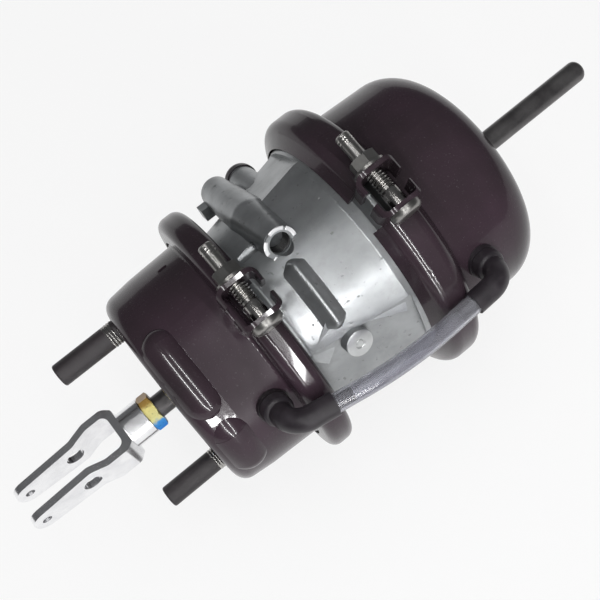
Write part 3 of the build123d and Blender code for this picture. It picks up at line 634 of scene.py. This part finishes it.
for end, way in ((startAngle, -1), (endAngle, 1)):
    for row, depth in enumerate(spec["fade"]):
        rowAngle = end + way * row * stepAngle
        for vertex in castRidge.data.vertices:
            angle = math.degrees(math.atan2(vertex.co.y, vertex.co.z))
            vertex.select = abs(angle - rowAngle) < stepAngle / 4
        inwards = aroundChamber(rowAngle) @ Vector((0.0, 0.0, -depth * millimetre))
        choose(castRidge)
        bpy.ops.object.mode_set(mode="EDIT")
        bpy.ops.transform.translate(value=inwards)
        bpy.ops.mesh.select_all(action="DESELECT")
        bpy.ops.object.mode_set(mode="OBJECT")
finished(castRidge, "chamber", "cast_aluminium")
print("case ridge softened")

padDetail = {
    "x": 111.5,
    "reach": 81.0,
    "angle": -60.3,
    "radius": 9.2,
    "root": -0.5,
    "lift": 0.45,
    "rimDrop": 0.2,
    "rimWidth": 0.5,
    "ringRadius": 3.2,
    "ringDepth": 0.35,
    "ringFlanks": (0.5, 0.7, 1.2),
    "steps": 48,
}
spec = padDetail
outerFlank, innerRing, innerFlank = spec["ringFlanks"]
castPad = turnedPiece("cast_pad_face", [
    (spec["root"], 0.0),
    (spec["root"], spec["radius"]),
    (spec["lift"] - spec["rimDrop"], spec["radius"]),
    (spec["lift"], spec["radius"] - spec["rimWidth"]),
    (spec["lift"], spec["ringRadius"] + outerFlank),
    (spec["lift"] - spec["ringDepth"], spec["ringRadius"]),
    (spec["lift"] - spec["ringDepth"], spec["ringRadius"] - innerRing),
    (spec["lift"], spec["ringRadius"] - innerFlank),
    (spec["lift"], 0.0)], spec["steps"])
padPlace = (aroundChamber(spec["angle"]) @ shifted(spec["x"], spec["reach"])
            @ Matrix.Rotation(-quarterTurn, 4, "Y"))
finished(placed(castPad, padPlace), "chamber", "cast_aluminium", workedFinishes["pad"])
print("cast pad faced")


def aim(origin, right, up, back):
    turn = Matrix((right, up, back)).transposed().to_4x4()
    return Matrix.Translation(origin) @ turn


cameraDetail = {
    "tilt": 38.8,
    "pan": 7.83,
    "roll": 24.0,
    "distance": 0.610,
    "focal": 53.04,
    "sensor": 36.0,
    "along": 0.1081,
    "below": 0.0041,
    "clip": (0.01, 50.0),
}
spec = cameraDetail
slope = math.radians(spec["roll"])
pan = math.radians(spec["pan"])
tilt = math.radians(spec["tilt"])
axis = Vector(xAxis)
near = Vector((0.0, -math.sin(slope), math.cos(slope)))
side = Vector((0.0, math.cos(slope), math.sin(slope)))
level = math.cos(pan) * axis + math.sin(pan) * near
back = -math.sin(pan) * axis + math.cos(pan) * near
right = math.cos(tilt) * level - math.sin(tilt) * side
up = math.sin(tilt) * level + math.cos(tilt) * side
target = spec["along"] * axis - spec["below"] * side
camera = bpy.data.cameras.new("camera")
camera.lens = spec["focal"]
camera.sensor_width = spec["sensor"]
camera.sensor_height = spec["sensor"]
camera.sensor_fit = "HORIZONTAL"
camera.clip_start, camera.clip_end = spec["clip"]
cameraPiece = bpy.data.objects.new("camera", camera)
bpy.context.scene.collection.objects.link(cameraPiece)
cameraPiece.matrix_world = aim(target + spec["distance"] * back, right, up, back)
bpy.context.scene.camera = cameraPiece

# the floor glows to the camera and in mirrors, and what is left of it takes the shadow
floorDetail = {
    "size": 8.0,
    "drop": 0.0005,
    "centre": 0.13,
    "colour": (0.86, 0.86, 0.86),
    "rough": 0.9,
    "shine": 0.1,
    "glow": (1.0, 1.0, 1.0),
    "glowSeen": 0.82,
    "glowMirrored": 0.72,
}
spec = floorDetail
clearSelection()
bpy.ops.mesh.primitive_plane_add(
    size=spec["size"], location=(spec["centre"], 0.0, cadLow[2] - spec["drop"]))
floor = bpy.context.active_object
floor.name = "floor"
floorFinish = Finish("paleFloor")
floorFinish.set(Base_Color=spec["colour"], Roughness=spec["rough"],
                Specular_IOR_Level=spec["shine"])
seen = floorFinish.seenByCamera() * spec["glowSeen"]
mirrored = floorFinish.ray("Is Glossy Ray") * spec["glowMirrored"]
lit = Value(floorFinish, floorFinish.shader.outputs[0])
glow = floorFinish.node("ShaderNodeEmission", None, {"Color": spec["glow"], "Strength": 1.0})
mixed = floorFinish.node("ShaderNodeMixShader", None, {0: seen.larger(mirrored), 1: lit, 2: glow})
floorFinish.feed(floorFinish.out.inputs["Surface"], mixed)
dress(floor, floorFinish.material)
floor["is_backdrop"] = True

skyDetail = {
    "colour": (0.80, 0.81, 0.84),
    "light": 0.13,
    "seen": 1.15,
}
spec = skyDetail
world = bpy.data.worlds.new("studioWorld")
bpy.context.scene.world = world
world.use_nodes = True
sky = Nodes(world.node_tree)
background = world.node_tree.nodes["Background"]
sky.feed(background.inputs["Color"], spec["colour"])
sky.feed(background.inputs["Strength"],
         sky.between(sky.seenByCamera(), 0.0, 1.0, spec["light"], spec["seen"]))

# the paint, the casting and the bright metal are each lit at their own level
groups = {name: bpy.data.collections.new(name) for name in ("painted", "plain", "casting")}
for piece in bpy.context.scene.objects:
    if piece.type == "MESH":
        name = piece.data.materials[0].name if piece.data.materials else ""
        groups["painted" if name == "blackEnamel" else "plain"].objects.link(piece)
        if name in ("castAluminium", "padFace"):
            groups["casting"].objects.link(piece)

lampTarget = (0.12, 0.0, 0.0)
lamps = {
    "paintStripFront": {"toward": (-0.36, -0.30, 0.90), "distance": 1.4, "size": (0.045, 3.2),
                        "power": 56.0, "lights": "painted"},
    "paintStripMiddle": {"toward": (0.07, -0.30, 0.95), "distance": 1.4, "size": (0.03, 3.0),
                         "power": 40.0, "lights": "painted"},
    "metalStripFront": {"toward": (-0.36, -0.30, 0.90), "distance": 1.4, "size": (0.10, 3.2),
                        "power": 12.0, "lights": "plain"},
    "metalStripMiddle": {"toward": (0.07, -0.30, 0.95), "distance": 1.4, "size": (0.10, 3.0),
                         "power": 10.0, "lights": "plain"},
    "softTop": {"toward": (0.25, 0.45, 0.86), "distance": 2.6, "size": (2.6, 2.6),
                "power": 26.0, "lights": "plain", "mirrored": False},
    "castingSoft": {"toward": (-0.25, -0.50, 0.83), "distance": 1.6, "size": (0.45, 0.30),
                    "power": 3.0, "lights": "casting"},
    "softLow": {"toward": (0.15, -0.90, 0.35), "distance": 1.8, "size": (1.6, 0.5),
                "power": 1.6, "lean": xAxis, "mirrored": False},
}


def lamp(name, toward, distance, size, power, lights=None, lean=None, mirrored=True):
    # toward counts along the chamber, across the view and toward the camera
    light = bpy.data.lights.new(name, "AREA")
    light.shape = "RECTANGLE"
    light.size, light.size_y = size
    light.energy = power
    piece = bpy.data.objects.new(name, light)
    bpy.context.scene.collection.objects.link(piece)
    outwards = (toward[0] * axis + toward[1] * side + toward[2] * near).normalized()
    across = Vector(lean or side).cross(outwards).normalized()
    tall = outwards.cross(across).normalized()
    piece.matrix_world = aim(Vector(lampTarget) + distance * outwards, across, tall, outwards)
    piece.visible_glossy = mirrored
    if lights:
        piece.light_linking.receiver_collection = groups[lights]


for name, settings in lamps.items():
    lamp(name, **settings)
print("studio set")

bpy.context.scene.view_settings.view_transform = "Standard"
bpy.context.view_layer.update()
low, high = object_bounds()
